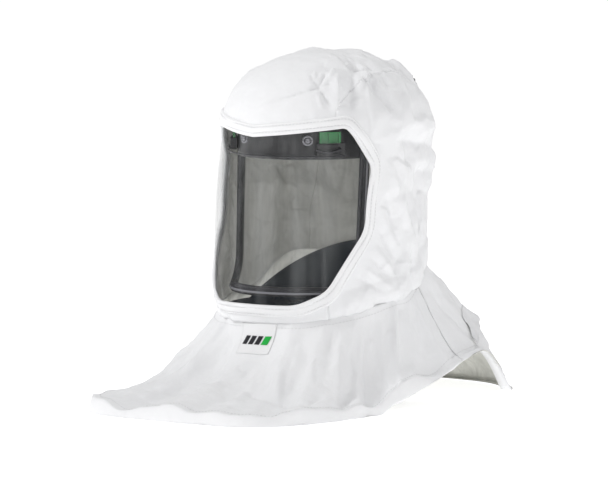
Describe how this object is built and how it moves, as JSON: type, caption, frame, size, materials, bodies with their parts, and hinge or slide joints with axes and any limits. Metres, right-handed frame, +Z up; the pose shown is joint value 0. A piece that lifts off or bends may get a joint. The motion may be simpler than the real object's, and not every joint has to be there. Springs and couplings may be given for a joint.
{
  "type": "powered air respirator hood",
  "caption": "White loose-fitting respirator hood with a curved clear lens, a shoulder cape, and an inner visor, ratchet head harness and air duct.",
  "frame": {"origin": "middle of the whole object's footprint, on the surface that the cape stands on", "axes": "+Z up; the wearer faces -Y and the air inlet points to +Y; +X is the wearer's left"},
  "size_m": [0.3392, 0.568, 0.418],
  "materials": {
    "hood_fabric": "matt white coated non-woven",
    "collar_knit": "dark knitted cloth",
    "clear_sheet": "clear polished sheet",
    "black_nylon": "fine-textured moulded nylon",
    "black_rubber": "soft matt",
    "green_clear": "translucent green",
    "grey_foam": "brushed cloth over foam",
    "screw_steel": "plated",
    "label_film": "matt film"
  },
  "bodies": {
    "hood": {"crown_panel": "hood_fabric", "chin_panel": "hood_fabric", "left_side_panel": "hood_fabric", "right_side_panel": "hood_fabric", "lens_binding": "hood_fabric", "front_cape": "hood_fabric", "rear_cape": "hood_fabric", "left_seam_tape": "hood_fabric", "right_seam_tape": "hood_fabric", "hood_lens": "clear_sheet", "neck_collar": "collar_knit", "neck_elastic": "collar_knit", "label_patch": "label_film", "visor_frame": "black_nylon", "visor_gasket": "black_rubber", "visor_lens": "clear_sheet", "brow_panel": "black_nylon", "frame_screw_1": "screw_steel", "frame_screw_2": "screw_steel", "frame_screw_3": "screw_steel", "frame_screw_4": "screw_steel", "left_latch_pocket": "black_nylon", "right_latch_pocket": "black_nylon", "duct_tray": "black_nylon", "duct_cover": "black_nylon", "air_diffuser": "black_nylon", "inlet_plenum": "black_nylon", "inlet_cuff": "black_rubber", "left_pivot_screw": "black_nylon", "right_pivot_screw": "black_nylon"},
    "harness": {"headband": "black_nylon", "brow_pad": "grey_foam", "front_crown_strap": "black_nylon", "rear_crown_strap": "black_nylon", "crown_bridge": "black_nylon", "crown_pad": "grey_foam", "left_pivot_boss": "black_nylon", "right_pivot_boss": "black_nylon"},
    "nape": {"nape_cradle": "black_nylon", "nape_pad": "grey_foam", "ratchet_housing": "black_nylon", "ratchet_cover": "black_nylon", "left_cover_screw": "screw_steel", "right_cover_screw": "screw_steel"},
    "ratchet": {"ratchet_knob": "green_clear", "ratchet_pinion": "screw_steel"},
    "left_rack_body": {"left_rack": "black_nylon"},
    "right_rack_body": {"right_rack": "black_nylon"},
    "left_latch": {"left_latch_tab": "green_clear"},
    "right_latch": {"right_latch_tab": "green_clear"},
    "swivel": {"inlet_swivel": "black_nylon"},
    "swivel_button": {"release_button": "green_clear"},
    "vane": {"air_vane": "black_nylon"}
  },
  "joints": [
    {"name": "harness_tilt", "type": "hinge", "parent": "hood", "child": "harness", "pos_m": [0, 0.007, 0.32], "axis": [1, 0, 0], "range_deg": [-1.5, 6]},
    {"name": "nape_slide", "type": "slide", "parent": "harness", "child": "nape", "axis": [0, -1, 0], "range_m": [-0.01, 0.018]},
    {"name": "ratchet_turn", "type": "hinge", "parent": "nape", "child": "ratchet", "pos_m": [0, 0.132, 0.312], "axis": [0, -1, 0], "range_deg": [-96, 172]},
    {"name": "left_rack_slide", "type": "slide", "parent": "nape", "child": "left_rack_body", "axis": [-1, 0, 0], "range_m": [-0.01, 0.018]},
    {"name": "right_rack_slide", "type": "slide", "parent": "nape", "child": "right_rack_body", "axis": [1, 0, 0], "range_m": [-0.01, 0.018]},
    {"name": "left_latch_slide", "type": "slide", "parent": "hood", "child": "left_latch", "axis": [0, 0, 1], "range_m": [-0.005, 0]},
    {"name": "right_latch_slide", "type": "slide", "parent": "hood", "child": "right_latch", "axis": [0, 0, 1], "range_m": [-0.005, 0]},
    {"name": "inlet_swivel_turn", "type": "hinge", "parent": "hood", "child": "swivel", "pos_m": [0, 0.181, 0.362], "axis": [0, 1, 0], "continuous": true},
    {"name": "release_button_press", "type": "slide", "parent": "swivel", "child": "swivel_button", "axis": [0, 0, -1], "range_m": [0, 0.0015], "stiffness_N_per_m": 400, "springref_m": -0.001},
    {"name": "air_vane_tilt", "type": "hinge", "parent": "hood", "child": "vane", "pos_m": [0, -0.08055, 0.3384], "axis": [1, 0, 0], "range_deg": [-16, 16]}
  ],
  "couplings": [
    {"joint": "ratchet_turn", "follows": "nape_slide", "rad_per_m": 166.67},
    {"joint": "left_rack_slide", "follows": "nape_slide", "ratio": 1},
    {"joint": "right_rack_slide", "follows": "nape_slide", "ratio": 1}
  ]
}
